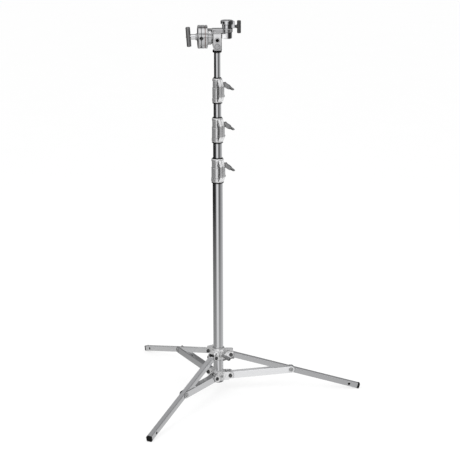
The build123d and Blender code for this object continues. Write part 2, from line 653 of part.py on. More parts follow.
def write_legs():
    leg, foot, brace, studs = make_leg(), make_foot(), make_brace(), make_brace_studs()
    for number, azimuth in enumerate(LEG_AZIMUTHS, start=1):
        save(f"leg_{number}", turn_z(azimuth, leg))
        save(f"leg_{number}_foot", turn_z(azimuth, foot))
        save(f"brace_{number}", turn_z(azimuth, brace))
        save(f"brace_{number}_studs", *[turn_z(azimuth, stud) for stud in studs])


def write_column():
    bores = [BASE_R - BASE_WALL, RISER_R[0] - RISER_WALL[0], RISER_R[1] - RISER_WALL[1]]
    tops = [CLAMP_LOW[1] + TUBE_INTO_CLAMP, CLAMP_LOW[2] + TUBE_INTO_CLAMP, HEAD_LOW + 57]
    for index, name in enumerate(("lower", "middle", "upper")):
        radius, wall, low = RISER_R[index], RISER_WALL[index], RISER_LOW[index]
        save(f"riser_{index + 1}", make_column_tube(radius, wall, low, tops[index]))
        save(f"riser_{index + 1}_guide", make_guide(radius, wall, low, bores[index]))
        save(f"{name}_clamp", make_clamp(index))
        save(f"{name}_clamp_bush", make_clamp_bush(index))
        save(f"{name}_clamp_ring", make_clamp_ring(index))
        save(f"{name}_clamp_screw", make_clamp_screw(index))
        save(f"{name}_lever", make_lever(index))
        save(f"{name}_lever_bolt", make_lever_bolt(index))


def write_head():
    save("head_ring", make_head_ring())
    save("head_body", make_head_body())
    save("head_arm", make_head_arm())
    save("head_screws", *make_head_screws())
    save("junior_receiver", make_junior_receiver())
    save("receiver_pad", make_socket_pad())
    save("receiver_handle", make_socket_handle())
    save("grip_hub", make_grip_hub())
    save("grip_back_plate", make_grip_back_plate())
    save("grip_friction_disc", make_friction_disc())
    save("grip_inner_jaw", make_inner_jaw())
    save("grip_outer_jaw", make_outer_jaw())
    save("grip_handle", make_grip_handle())


os.makedirs("parts", exist_ok=True)
write_base()
write_legs()
write_column()
write_head()
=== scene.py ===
"""Visual model of a wide-base grip stand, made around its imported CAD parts. Metres and degrees throughout."""
import json
import math

import bmesh
import bpy
from mathutils import Matrix, Vector


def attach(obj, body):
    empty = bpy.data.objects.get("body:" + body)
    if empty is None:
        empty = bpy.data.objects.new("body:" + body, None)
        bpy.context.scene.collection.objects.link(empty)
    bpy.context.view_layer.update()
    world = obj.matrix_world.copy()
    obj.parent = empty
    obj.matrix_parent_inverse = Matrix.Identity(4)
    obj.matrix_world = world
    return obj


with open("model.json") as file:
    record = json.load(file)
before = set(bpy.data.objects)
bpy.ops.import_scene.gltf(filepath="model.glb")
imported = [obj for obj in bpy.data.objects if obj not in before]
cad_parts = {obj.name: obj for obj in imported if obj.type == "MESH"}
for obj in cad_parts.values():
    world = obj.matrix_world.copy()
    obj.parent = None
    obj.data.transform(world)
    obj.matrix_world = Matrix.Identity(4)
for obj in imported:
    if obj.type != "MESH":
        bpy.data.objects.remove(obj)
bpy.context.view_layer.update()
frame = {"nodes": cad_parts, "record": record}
NODES = frame["nodes"]
SLOT_OF = {part["node"]: part["material_slot"] for part in frame["record"]["subparts"]}

# ---- base: legs, braces and collars ----
LEG_AZIMUTHS = {"1": 0.0, "2": 120.0, "3": 240.0}
LEG_SLOPE = 16.03
BRACE_SLOPE = -4.32
LEG_PIVOT = (0.0643, 0.0, 0.2046)
WHEEL_HOLE_FROM_PIVOT = 0.6396
BASE_TUBE_RADIUS = 0.0254
LEG_COLLAR_TOP = 0.2410
BOTTOM_COLLAR_TOP = 0.1129

# ---- riser clamps ----
CLAMP_AZIMUTH = -60.0
# Each clamp's body, tube radius, bush top, raised line (radius, height) and lever axis (distance, height).
CLAMPS = {
    "lower": {"body": "base", "tube": 0.022225, "top": 1.2416, "line": (0.0306, 1.1925),
              "lever": (0.0382, 1.211)},
    "middle": {"body": "riser_1", "tube": 0.01905, "top": 1.4476, "line": (0.027425, 1.3965),
               "lever": (0.035025, 1.417)},
    "upper": {"body": "riser_2", "tube": 0.015875, "top": 1.6456, "line": (0.02425, 1.5955),
              "lever": (0.03185, 1.615)},
}
EAR_OUTWARD = Vector((math.cos(math.radians(CLAMP_AZIMUTH)), math.sin(math.radians(CLAMP_AZIMUTH)), 0.0))
EAR_SIDE_FROM = 0.018
EAR_SLOPE_FROM = 0.026

# ---- levers ----
LEVER_DROOP = 8.0
RIB_COUNT = 4
RIB_START = 0.0575
RIB_STEP = 0.0048
RIB_HALF = (0.0010, 0.0008, 0.0030)
RIB_RADIUS = 0.0005
RIB_DROP = -0.0016
LEVER_FACES = (("outer", 0.0265), ("inner", 0.0160))

# ---- head ----
GRIP_AXIS_Z = 1.8487
GRIP_SLEEVE_FROM_X = -0.1325
HEAD_SCREW_Z = 1.833
HEAD_SCREW_SOCKET_RADIUS = 0.0092
HEAD_SCREW_RIM_Y = -0.0235
HEAD_SCREW_RADIUS = 0.0115
HEAD_COVER_Z = 1.803
HEAD_COVER_RADIUS = 0.0122
HEAD_COVER_FACE_RADIUS = 0.0125
HEAD_FRONT_Y = -0.0225
# Painted shade on the head casting: darker towards the bottom, between these heights.
HEAD_SHADE_FADE = {"low": 1.790, "high": 1.862, "low_level": 0.50}
# Dark reflection painted on the receiver's socket as an upright strip: axis, azimuth right of the front, half
# width in degrees.
RECEIVER_PAINTED_REFLECTION = {"axis_x": 0.048, "axis_y": 0.0, "azimuth": 38.0, "half_width": 26.0}
WEB_CENTRE = (0.0352, 0.0, 1.8540)
WEB_HALF = (0.0118, 0.0262, 0.0118)
WEB_RADIUS = 0.0022

# ---- hand screws ----
SCREW_RADIUS = 0.00595
RECEIVER_THREAD_START = (0.0762, 0.0, 1.898)
KNOB_THREAD_OUT = 0.0428
KNOB_HEIGHT = 0.207

# Level of each leg and brace, and how mirror-like it is (1 is pure mirror, less is milkier), set per part so
# one chrome shows the light and shade each catches: painted light and shade.
LEG_PAINTED_LIGHT = {"1": (0.66, 1.0), "2": (0.88, 0.72), "3": (0.80, 1.0)}
BRACE_PAINTED_LIGHT = {"1": (0.95, 0.68), "2": (0.46, 1.0), "3": (0.46, 1.0)}
# Level of the brace channel walls; on braces 2 and 3 it is a lighter copy of the chrome on top: painted light.
BRACE_SIDE_PAINTED_LEVEL = 0.95
LEG_EDGE = 0.002
BRACE_EDGE = 0.0008

# Finishes that differ from a node's material slot.
FINISH_OF = {
    "lower_clamp": "clamp_casting",
    "middle_clamp": "clamp_casting",
    "upper_clamp": "clamp_casting",
    "head_body": "head_casting",
    "head_arm": "head_chrome",
    "grip_hub": "head_chrome",
    "head_screws": "bright_screw",
    "junior_receiver": "receiver_chrome",
    "leg_pivot_bolts": "bolt_steel",
    "brace_pivot_bolts": "bolt_steel",
    "receiver_handle": "dark_handle",
}

# What mirror-like parts see: (degrees, level).
# Low down it goes by azimuth: 0 is the camera's side, positive to its right.
LOW_BANDS = [(-180, 0.03), (-150, 0.02), (-64, 0.02), (-46, 0.10), (-36, 0.45), (-22, 0.78), (2, 0.74),
             (14, 0.34), (24, 0.12), (46, 0.12), (62, 0.26), (100, 0.42), (150, 0.65), (180, 0.40)]
# Higher up it goes by height above the horizon, on the camera's side and behind the stand.
FRONT_BANDS = [(-90, 0.30), (-4, 0.10), (6, 0.14), (10, 1.0), (22, 0.95), (29, 0.36), (40, 0.36), (46, 0.9),
               (60, 1.0), (90, 0.95)]
BEHIND_BANDS = [(-90, 0.30), (0, 0.30), (9, 0.16), (13, 0.34), (30, 0.32), (38, 0.56), (46, 0.56),
                (54, 0.14), (76, 0.16), (84, 0.60), (90, 0.95)]
BAND_TINT = (0.985, 0.985, 1.0)
# The floor's level and share where mirror-like parts see it, and how much of it glows where the camera does.
FLOOR_GLOW = 0.62
FLOOR_SEEN = 0.50
FLOOR_PAPER = 0.7
FLOOR_RADIUS = 40.0
FLOOR_HOLE_RADIUS = 0.005
FLOOR_DROP = -0.0002

# ---- camera ----
CAMERA_PLACE = (-0.3750, -7.7206, 3.0891)
CAMERA_LENS = 124.86
CAMERA_SENSOR = 36.0
CAMERA_FAR = 100.0
CAMERA_DOWN = 16.029
CAMERA_HEADING = -3.234
CAMERA_ROLL = -0.11


# ---- shader graph helper ----
class Graph:
    """Adds linked nodes to one material or world."""

    def __init__(self, owner):
        self.owner = owner
        owner.use_nodes = True
        self.tree = owner.node_tree
        self.tree.nodes.clear()

    def node(self, kind, inputs=None, **settings):
        made = self.tree.nodes.new("ShaderNode" + kind)
        for name, value in settings.items():
            setattr(made, name, value)
        for name, value in (inputs or {}).items():
            if isinstance(value, bpy.types.NodeSocket):
                self.tree.links.new(value, made.inputs[name])
            else:
                made.inputs[name].default_value = value
        return made

    def place(self, turn=(0, 0, 0), stretch=(1, 1, 1)):
        """Object coordinates, turned and then stretched."""
        start = self.node("TexCoord").outputs["Object"]
        turned = self.node("Mapping", {"Vector": start, "Rotation": turn}).outputs[0]
        return self.node("Mapping", {"Vector": turned, "Scale": stretch}).outputs[0]

    def axes(self, where):
        """The x, y and z of a vector."""
        return self.node("SeparateXYZ", {"Vector": where}).outputs

    def noise(self, where, scale, detail=3.0, rough=0.55):
        inputs = {"Vector": where, "Scale": scale, "Detail": detail, "Roughness": rough}
        return self.node("TexNoise", inputs).outputs[0]

    def remap(self, value, low, high, to_low, to_high):
        inputs = {"Value": value, "From Min": low, "From Max": high, "To Min": to_low, "To Max": to_high}
        return self.node("MapRange", inputs).outputs[0]

    def mix(self, factor, first, second):
        return self.node("Mix", {0: factor, 6: first, 7: second}, data_type="RGBA").outputs[2]

    def math(self, kind, first, second=0.0):
        return self.node("Math", {0: first, 1: second}, operation=kind).outputs[0]

    def degrees(self, radians):
        return self.math("MULTIPLY", radians, 180.0 / math.pi)

    def length(self, vector):
        return self.node("VectorMath", {0: vector}, operation="LENGTH").outputs["Value"]

    def bump(self, height, depth, strength, normal):
        inputs = {"Height": height, "Distance": depth, "Strength": strength, "Normal": normal}
        return self.node("Bump", inputs).outputs[0]

    def rounded(self, radius):
        return self.node("Bevel", {"Radius": radius}, samples=4).outputs[0]

    def crevice(self, distance):
        """0 in the open, 1 deep in a corner: the mask for grime and painted shade in corners."""
        ao = self.node("AmbientOcclusion", {"Distance": distance}, samples=6).outputs["AO"]
        return self.remap(ao, 0.35, 0.95, 1.0, 0.0)

    def strip(self, axis_x, axis_y, azimuth, half_width):
        """Near 1 on an upright strip of a round part about the axis, 0 elsewhere, with soft edges.

        azimuth is in degrees to the right of the front.
        """
        x, y = self.axes(self.node("TexCoord").outputs["Object"])[:2]
        right = self.math("SUBTRACT", x, axis_x)
        toward = self.math("SUBTRACT", axis_y, y)
        angle = self.degrees(self.math("ARCTAN2", right, toward))
        away = self.math("ABSOLUTE", self.math("SUBTRACT", angle, azimuth))
        return self.remap(away, half_width - 6.0, half_width + 3.0, 0.9, 0.0)

    def is_glossy_ray(self):
        return self.node("LightPath").outputs["Is Glossy Ray"]

    def surface(self, **inputs):
        names = {"color": "Base Color", "metallic": "Metallic", "roughness": "Roughness", "normal": "Normal",
                 "specular": "Specular IOR Level"}
        shader = self.node("BsdfPrincipled", {names[key]: value for key, value in inputs.items()})
        self.node("OutputMaterial", {"Surface": shader.outputs[0]})
        return self.owner


def grey(level, tint=(1.0, 1.0, 1.0)):
    return tuple(level * part for part in tint) + (1.0,)


def turned_to(azimuth, slope):
    """Mapping rotation that brings a bar at this azimuth and slope onto X."""
    bar = Matrix.Rotation(math.radians(azimuth), 3, "Z") @ Matrix.Rotation(math.radians(slope), 3, "Y")
    return tuple(bar.inverted().to_euler())


# ---- materials ----
def plated_tube(name, level, turn=(0, 0, 0), along="Z", edge=0.0006, metal=1.0, painted_reflection=None):
    """Bright chrome on drawn tube: faint draw lines along it, smudges, dull specks and painted shade in its
    crevices.

    The last argument says where a painted dark reflection runs up a round part as a strip: what Graph.strip
    takes.
    """
    graph = Graph(bpy.data.materials.new(name))
    lengthways = {"Z": (1, 1, 0.02), "X": (0.02, 1, 1)}[along]
    lines = graph.noise(graph.place(turn, lengthways), scale=900.0, detail=2.0)
    smudge = graph.noise(graph.place(turn), scale=9.0, detail=4.0, rough=0.6)
    speck = graph.noise(graph.place(turn), scale=420.0, detail=2.0)
    soft = graph.remap(smudge, low=0.42, high=0.72, to_low=0.045, to_high=0.17)
    lined = graph.remap(lines, low=0.3, high=0.8, to_low=0.0, to_high=0.05)
    rough = graph.math("ADD", soft, lined)
    dull = graph.remap(speck, low=0.62, high=0.75, to_low=0.0, to_high=0.35)
    bright = grey(level, (0.985, 0.99, 1.0))
    tarnish = grey(level * 0.72, (0.96, 0.98, 1.0))
    color = graph.mix(dull, bright, tarnish)
    # Painted shade: near black deep in crevices.
    color = graph.mix(graph.crevice(0.008), color, grey(0.02))
    # Painted reflection: a dark upright strip where the last argument says.
    if painted_reflection:
        color = graph.mix(graph.strip(**painted_reflection), color, grey(0.05))
    normal = graph.bump(lines, depth=0.00002, strength=0.35, normal=graph.rounded(edge))
    normal = graph.bump(smudge, depth=0.0003, strength=0.10, normal=normal)
    return graph.surface(color=color, metallic=metal, roughness=rough, normal=normal)


def plated_casting(name, level, metal, soft=0.0, fade=None, waviness=0.08):
    """Polished and plated casting: orange peel, pits, and corners darkened by grime and painted shade. fade
    paints shade on it: darker towards its low height.
    """
    graph = Graph(bpy.data.materials.new(name))
    where = graph.place()
    peel = graph.noise(where, scale=260.0, detail=2.0)
    pits = graph.noise(where, scale=700.0, detail=3.0)
    smudge = graph.noise(where, scale=22.0, detail=4.0, rough=0.6)
    wave = graph.noise(where, scale=40.0, detail=1.5)
    grime_and_shade = graph.crevice(0.006)
    smudged = graph.remap(smudge, low=0.4, high=0.7, to_low=0.05 + soft, to_high=0.15 + soft)
    rough = graph.math("ADD", smudged, graph.math("MULTIPLY", grime_and_shade, 0.20))
    shade = graph.math("MULTIPLY", grime_and_shade, graph.remap(smudge, low=0.3, high=0.7, to_low=0.75, to_high=1.0))
    plate = grey(level)
    # Painted shade: darker towards the low height.
    if fade:
        height = graph.axes(where)[2]
        up = graph.remap(height, low=fade["low"], high=fade["high"], to_low=0.0, to_high=1.0)
        plate = graph.mix(up, grey(fade["low_level"]), grey(level))
    # Grime and painted shade: warm near black in corners.
    color = graph.mix(shade, plate, grey(level * 0.06, (1.0, 0.97, 0.92)))
    normal = graph.bump(wave, depth=0.005, strength=waviness, normal=graph.rounded(0.0009))
    normal = graph.bump(peel, depth=0.0003, strength=0.22, normal=normal)
    normal = graph.bump(pits, depth=0.00008, strength=0.25, normal=normal)
    return graph.surface(color=color, metallic=metal, roughness=rough, normal=normal)


def turned_metal(name, level, tint=(1.0, 1.0, 1.0), rough_low=0.10, rough_high=0.26):
    """Lathe-turned face and rim about the grip's axis: fine concentric rings."""
    graph = Graph(bpy.data.materials.new(name))
    start = graph.node("TexCoord").outputs["Object"]
    centred = graph.node("Mapping", {"Vector": start, "Location": (0.0, 0.0, -GRIP_AXIS_Z)}).outputs[0]
    x, y, z = graph.axes(centred)
    radius = graph.length(graph.node("CombineXYZ", {"Y": y, "Z": z}).outputs[0])
    rings_at = graph.node("CombineXYZ", {"X": radius, "Y": x}).outputs[0]
    rings = graph.noise(rings_at, scale=1500.0, detail=2.0)
    smudge = graph.noise(graph.place(), scale=30.0, detail=4.0, rough=0.6)
    grime_and_shade = graph.crevice(0.005)
    smudged = graph.remap(smudge, low=0.4, high=0.7, to_low=rough_low, to_high=rough_high)
    rough = graph.math("ADD", smudged, graph.math("MULTIPLY", grime_and_shade, 0.2))
    shade = graph.math("MULTIPLY", grime_and_shade, 0.8)
    # Painted shade: darker in corners.
    color = graph.mix(shade, grey(level, tint), grey(level * 0.3, tint))
    normal = graph.bump(rings, depth=0.00005, strength=0.35, normal=graph.rounded(0.0009))
    return graph.surface(color=color, metallic=1.0, roughness=rough, normal=normal)


def satin_metal(name, level, rough):
    """Satin plated steel: blotchy finish with fine scratches."""
    graph = Graph(bpy.data.materials.new(name))
    grain = graph.noise(graph.place(stretch=(1, 1, 0.08)), scale=1400.0, detail=2.0)
    blotch = graph.noise(graph.place(), scale=60.0, detail=4.0, rough=0.6)
    grime_and_shade = graph.crevice(0.004)
    blotched = graph.remap(blotch, low=0.35, high=0.7, to_low=rough - 0.1, to_high=rough + 0.1)
    roughness = graph.math("ADD", blotched, graph.math("MULTIPLY", grime_and_shade, 0.2))
    # Painted shade: darker in corners.
    color = graph.mix(graph.math("MULTIPLY", grime_and_shade, 0.8), grey(level), grey(level * 0.25))
    normal = graph.bump(grain, depth=0.00004, strength=0.3, normal=graph.rounded(0.0006))
    return graph.surface(color=color, metallic=1.0, roughness=roughness, normal=normal)


def moulded_black(name, level, rough, grain_depth):
    """Moulded black plastic or rubber: fine grain and scuffed, dusty patches."""
    graph = Graph(bpy.data.materials.new(name))
    where = graph.place()
    grain = graph.noise(where, scale=1500.0, detail=2.0)
    scuff = graph.noise(where, scale=70.0, detail=5.0, rough=0.65)
    dust = graph.remap(scuff, low=0.55, high=0.75, to_low=0.0, to_high=0.5)
    color = graph.mix(dust, grey(level), grey(level * 3.2, (1.0, 0.98, 0.95)))
    roughness = graph.remap(scuff, low=0.3, high=0.75, to_low=rough - 0.08, to_high=rough + 0.15)
    normal = graph.bump(grain, depth=grain_depth, strength=0.4, normal=graph.rounded(0.0008))
    return graph.surface(color=color, metallic=0.0, roughness=roughness, normal=normal, specular=0.12)


def make_materials():
    return {
        "tube_chrome": plated_tube("chrome_tube", level=0.90),
        "cast_metal": plated_casting("chrome_casting", level=1.0, metal=0.84, waviness=0.7),
        "clamp_casting": plated_casting("satin_casting", level=0.84, metal=0.80, soft=0.08, waviness=0.12),
        "ear_side": plated_casting("ear_side", level=0.72, metal=0.90),
        # Whiter, milkier copy of the casting for faces that catch the light: painted highlight.
        "highlight_metal": plated_casting("painted_highlight_casting", level=1.0, metal=0.60, soft=0.05),
        # Painted shade: the head casting darkens towards the bottom.
        "head_casting": plated_casting("head_casting", level=1.0, metal=0.92, soft=0.05, fade=HEAD_SHADE_FADE),
        "head_chrome": plated_casting("head_chrome", level=0.68, metal=1.0),
        # Painted reflection: a dark upright strip up the receiver.
        "receiver_chrome": plated_tube("receiver_chrome", level=0.92, painted_reflection=RECEIVER_PAINTED_REFLECTION),
        # Near black: painted shade in the head screw's socket and the gaps round it, and the colour of the
        # black wheel-hole liners.
        "dark_bore": moulded_black("dark_bore", level=0.004, rough=0.6, grain_depth=0.00005),
        "jaw_metal": turned_metal("plated_jaw", level=0.72),
        "lever_metal": satin_metal("satin_lever", level=0.40, rough=0.30),
        "fastener_steel": satin_metal("zinc_fastener", level=0.62, rough=0.26),
        "bright_screw": satin_metal("polished_screw", level=0.95, rough=0.18),
        "bolt_steel": satin_metal("dark_bolt", level=0.14, rough=0.34),
        "handle_steel": satin_metal("grey_handle", level=0.36, rough=0.46),
        "dark_handle": satin_metal("dark_handle", level=0.17, rough=0.40),
        "friction_disc": turned_metal("copper_disc", level=0.62, tint=(1.0, 0.78, 0.73), rough_low=0.2,
                                      rough_high=0.35),
        "brass_pad": turned_metal("brass_pad", level=0.75, tint=(1.0, 0.80, 0.45)),
        "guide_plastic": moulded_black("nylon_guide", level=0.03, rough=0.45, grain_depth=0.00004),
        "black_plastic": moulded_black("black_ring", level=0.004, rough=0.42, grain_depth=0.00003),
        "foot_rubber": moulded_black("rubber_foot", level=0.006, rough=0.5, grain_depth=0.00008),
    }


def leg_material(node):
    # Each leg's own level and mirror share paint the light and shade it catches.
    level, metal = LEG_PAINTED_LIGHT[node[-1]]
    turn = turned_to(LEG_AZIMUTHS[node[-1]], LEG_SLOPE)
    return plated_tube("chrome_" + node, level, turn, "X", LEG_EDGE, metal)


def brace_material(node):
    # Each brace's own level and mirror share paint the light and shade it catches.
    level, metal = BRACE_PAINTED_LIGHT[node[-1]]
    turn = turned_to(LEG_AZIMUTHS[node[-1]], BRACE_SLOPE)
    return plated_tube("chrome_" + node, level, turn, "X", BRACE_EDGE, metal)


# ---- faces with a finish of their own ----
def in_head_socket(centre, normal):
    """Faces of the head screw behind its raised rim."""
    from_axis = math.hypot(centre.x, centre.z - HEAD_SCREW_Z)
    return from_axis < HEAD_SCREW_SOCKET_RADIUS and centre.y > HEAD_SCREW_RIM_Y


def on_head_cover(centre, normal):
    """The round cover under the head screw."""
    return math.hypot(centre.x, centre.z - HEAD_COVER_Z) < HEAD_COVER_FACE_RADIUS


def on_ear_side(centre, normal):
    """Side faces of a clamp's split ear."""
    across = Vector((-EAR_OUTWARD.y, EAR_OUTWARD.x, 0.0))
    return abs(normal.dot(across)) > 0.9 and centre.dot(EAR_OUTWARD) > EAR_SIDE_FROM


def on_ear_slope(centre, normal):
    """Sloping top and bottom faces of a clamp's split ear."""
    return 0.15 < abs(normal.z) < 0.97 and centre.dot(EAR_OUTWARD) > EAR_SLOPE_FROM


def on_brace_side(centre, normal):
    """Upright walls of a brace's channel."""
    return abs(normal.z) < 0.5


def on_grip_sleeve(centre, normal):
    """The grip handle's sleeve and screw, inside its cross bar."""
    return centre.x > GRIP_SLEEVE_FROM_X


def material_where(node, material, chosen):
    """Gives the faces of a node picked by chosen(centre, normal) a material of their own."""
    mesh = NODES[node].data
    mesh.materials.append(material)
    added = len(mesh.materials) - 1
    for face in mesh.polygons:
        if chosen(face.center, face.normal):
            face.material_index = added


def dress_cad_nodes(made):
    for node, thing in NODES.items():
        slot = FINISH_OF.get(node, SLOT_OF[node])
        if slot == "leg_chrome":
            material = leg_material(node)
        elif slot == "brace_chrome":
            material = brace_material(node)
        else:
            material = made[slot]
        thing.data.materials.clear()
        thing.data.materials.append(material)
        for face in thing.data.polygons:
            face.material_index = 0


def dress_chosen_faces(made):
    for number, azimuth in LEG_AZIMUTHS.items():
        turn = turned_to(azimuth, BRACE_SLOPE)
        metal = BRACE_PAINTED_LIGHT[number][1]
        # The channel walls get a lighter copy of the brace chrome: painted light.
        side = plated_tube("painted_light_brace_side_" + number, BRACE_SIDE_PAINTED_LEVEL, turn, "X", BRACE_EDGE, metal)
        material_where("brace_" + number, side, on_brace_side)
    material_where("grip_handle", made["bright_screw"], on_grip_sleeve)
    # Painted shade: the socket faces behind the screw's rim are near black.
    material_where("head_screws", made["dark_bore"], in_head_socket)
    material_where("head_screws", made["fastener_steel"], on_head_cover)
    for name in CLAMPS:
        material_where(name + "_clamp", made["ear_side"], on_ear_side)
        # Sloping ear faces get the whiter, milkier casting: painted highlight.
        material_where(name + "_clamp", made["highlight_metal"], on_ear_slope)


# ---- how added pieces are made ----
def finish_piece(work, name, material, body):
    """Turns a bmesh into a smooth-shaded piece that moves with body."""
    bmesh.ops.recalc_face_normals(work, faces=work.faces)
    mesh = bpy.data.meshes.new(name)
    work.to_mesh(mesh)
    work.free()
    for face in mesh.polygons:
        face.use_smooth = True
    mesh.materials.append(material)
    thing = bpy.data.objects.new(name, mesh)
    bpy.context.scene.collection.objects.link(thing)
    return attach(thing, body)


def frame_along(axis, start):
    """Matrix that carries +Z at the origin to axis at start."""
    turn = Vector(axis).to_track_quat("Z", "Y").to_matrix().to_4x4()
    return Matrix.Translation(start) @ turn


def up_at(height):
    """Matrix that lifts a ring about the column's axis to height."""
    return Matrix.Translation((0, 0, height))


def joined_loops(work, loops, closed):
    """Skins neighbouring loops of points with quads."""
    rings = [[work.verts.new(point) for point in loop] for loop in loops]
    pairs = list(zip(rings, rings[1:]))
    if closed:
        pairs.append((rings[-1], rings[0]))
    for first, second in pairs:
        count = len(first)
        for i in range(count):
            after = (i + 1) % count
            work.faces.new((first[i], first[after], second[after], second[i]))
    return rings


def lathe(name, profile, place, material, slot, body, ripple=0.0, waves=0, count=72):
    """Ring turned from a closed profile of (radius, height), with an optional ripple round it."""
    work = bmesh.new()
    loops = []
    for i in range(count):
        angle = 2 * math.pi * i / count
        swell = ripple * math.cos(waves * angle)
        cosine = math.cos(angle)
        sine = math.sin(angle)
        section = [((radius + swell) * cosine, (radius + swell) * sine, height) for radius, height in profile]
        loops.append([place @ Vector(point) for point in section])
    joined_loops(work, loops, True)
    return finish_piece(work, name, material, body)


def thread(name, place, material, body, depth, pitch, turns):
    """Screw thread on a hand screw's shank: one blunt ridge wound about +Z of place."""
    work = bmesh.new()
    steps = 24
    root = SCREW_RADIUS - 0.0002
    loops = []
    for i in range(int(turns * steps) + 1):
        angle = 2 * math.pi * i / steps
        rise = pitch * i / steps
        taper = min(1.0, i / steps, (turns * steps - i) / steps)
        crest = SCREW_RADIUS + depth * taper
        section = [(root, -0.42 * pitch), (crest, -0.08 * pitch), (crest, 0.08 * pitch), (root, 0.42 * pitch)]
        points = [(out * math.cos(angle), out * math.sin(angle), rise + up) for out, up in section]
        loops.append([place @ Vector(point) for point in points])
    rings = joined_loops(work, loops, False)
    work.faces.new(rings[0])
    work.faces.new(rings[-1])
    return finish_piece(work, name, material, body)


def pillow(name, half, radius, place, material, body):
    """Block with rounded edges and corners, centred on place."""
    work = bmesh.new()
    bmesh.ops.create_cube(work, size=2.0, matrix=Matrix.Diagonal((*half, 1.0)))
    bmesh.ops.bevel(work, geom=work.edges[:], offset=radius, segments=4, affect="EDGES", profile=0.5)
    work.transform(place)
    return finish_piece(work, name, material, body)


# ---- added pieces ----
def add_wipers(made):
    """Lip rings where each tube leaves its collar or clamp: steel on the collar, black on the clamps."""
    rows = [("leg_collar_wiper", BASE_TUBE_RADIUS, LEG_COLLAR_TOP, "leg_collar", "fastener_steel")]
    for name, clamp in CLAMPS.items():
        rows.append((name + "_clamp_wiper", clamp["tube"], clamp["top"], clamp["body"], "black_plastic"))
    section = [(0.0001, 0.0), (0.0036, 0.0), (0.0038, 0.0006), (0.0030, 0.0016), (0.0012, 0.0030),
               (0.0001, 0.0034)]
    for name, radius, height, body, finish in rows:
        profile = [(radius + out, up) for out, up in section]
        lathe(name, profile, up_at(height), made[finish], finish, body)


def add_weld_bead(made):
    """Rippled weld between the base tube and the bottom collar."""
    profile = [(0.0252, 0.0), (0.0292, 0.0), (0.0290, 0.0014), (0.0276, 0.0030), (0.0260, 0.0040),
               (0.0252, 0.0042)]
    ripples = {"ripple": 0.00022, "waves": 40, "count": 200}
    place = up_at(BOTTOM_COLLAR_TOP)
    lathe("bottom_collar_weld", profile, place, made["cast_metal"], "cast_metal", "base", **ripples)


def add_threads(made):
    """Screw threads on the visible shank of each hand screw."""
    steel = made["fastener_steel"]
    receiver = frame_along((1, 0, 0), RECEIVER_THREAD_START)
    thread("receiver_screw_thread", receiver, steel, "receiver_handle", depth=0.0007, pitch=0.0021, turns=6.2)
    knob = frame_along(EAR_OUTWARD, EAR_OUTWARD * KNOB_THREAD_OUT + Vector((0, 0, KNOB_HEIGHT)))
    thread("collar_knob_thread", knob, steel, "collar_lock_knob", depth=0.0006, pitch=0.0018, turns=6.0)


def add_lever_ribs(made):
    """Thumb ribs across both faces of each clamp lever, near its tip."""
    swing = Matrix.Rotation(math.radians(CLAMP_AZIMUTH), 4, "Z")
    droop = Matrix.Rotation(math.radians(LEVER_DROOP), 4, "Y")
    material = made["lever_metal"]
    for name, clamp in CLAMPS.items():
        distance, height = clamp["lever"]
        hub = swing @ Matrix.Translation((distance, 0.0, height)) @ droop
        for index in range(RIB_COUNT):
            along = RIB_START + RIB_STEP * index
            for side, face in LEVER_FACES:
                place = hub @ Matrix.Translation((along, face, RIB_DROP))
                rib = f"{name}_lever_rib_{side}_{index}"
                pillow(rib, RIB_HALF, RIB_RADIUS, place, material, name + "_lever")


def add_receiver_web(made):
    """Cast web under the arm, between the head block and the lower socket, in a whiter, milkier copy of the
    casting finish: painted highlight.
    """
    place = Matrix.Translation(WEB_CENTRE)
    pillow("receiver_web", WEB_HALF, WEB_RADIUS, place, made["highlight_metal"], "riser_3")


def add_rim_lines(made):
    """Raised polished line round each clamp casting, between its two panels."""
    section = [(-0.0010, -0.0012), (0.0005, -0.0012), (0.0009, -0.0006), (0.0009, 0.0006), (0.0005, 0.0012),
               (-0.0010, 0.0012)]
    for name, clamp in CLAMPS.items():
        radius, height = clamp["line"]
        profile = [(radius + out, up) for out, up in section]
        lathe(name + "_clamp_line", profile, up_at(height), made["cast_metal"], "cast_metal", clamp["body"])


def add_head_seams(made):
    """Dark seams round the head screw and its round cover: near-black rings, painted shade in the gaps there.
    """
    rows = (("head_screw_seam", HEAD_SCREW_Z, HEAD_SCREW_RADIUS),
            ("head_cover_seam", HEAD_COVER_Z, HEAD_COVER_RADIUS))
    section = [(-0.0002, -0.0010), (0.0013, -0.0010), (0.0012, 0.0003), (0.0002, 0.0005)]
    for name, height, radius in rows:
        place = frame_along((0, -1, 0), (0.0, HEAD_FRONT_Y, height))
        profile = [(radius + out, up) for out, up in section]
        lathe(name, profile, place, made["dark_bore"], "black_plastic", "riser_3")


def add_wheel_hole_liners(made):
    """Thin black liner with flared lips through the cross hole near each foot."""
    profile = [(0.00535, -0.0137), (0.00550, -0.0137), (0.0062, -0.01395), (0.0060, -0.0134),
               (0.00550, -0.0130), (0.00550, 0.0130), (0.0060, 0.0134), (0.0062, 0.01395),
               (0.00550, 0.0137), (0.00535, 0.0137)]
    slope = Matrix.Rotation(math.radians(LEG_SLOPE), 4, "Y")
    sideways = Matrix.Rotation(math.radians(90.0), 4, "X")
    along_leg = Matrix.Translation((WHEEL_HOLE_FROM_PIVOT, 0.0, 0.0))
    for number, azimuth in LEG_AZIMUTHS.items():
        swing = Matrix.Rotation(math.radians(azimuth), 4, "Z")
        place = swing @ Matrix.Translation(LEG_PIVOT) @ slope @ along_leg @ sideways
        name = "wheel_hole_liner_" + number
        lathe(name, profile, place, made["dark_bore"], "foot_rubber", "leg_" + number, count=40)


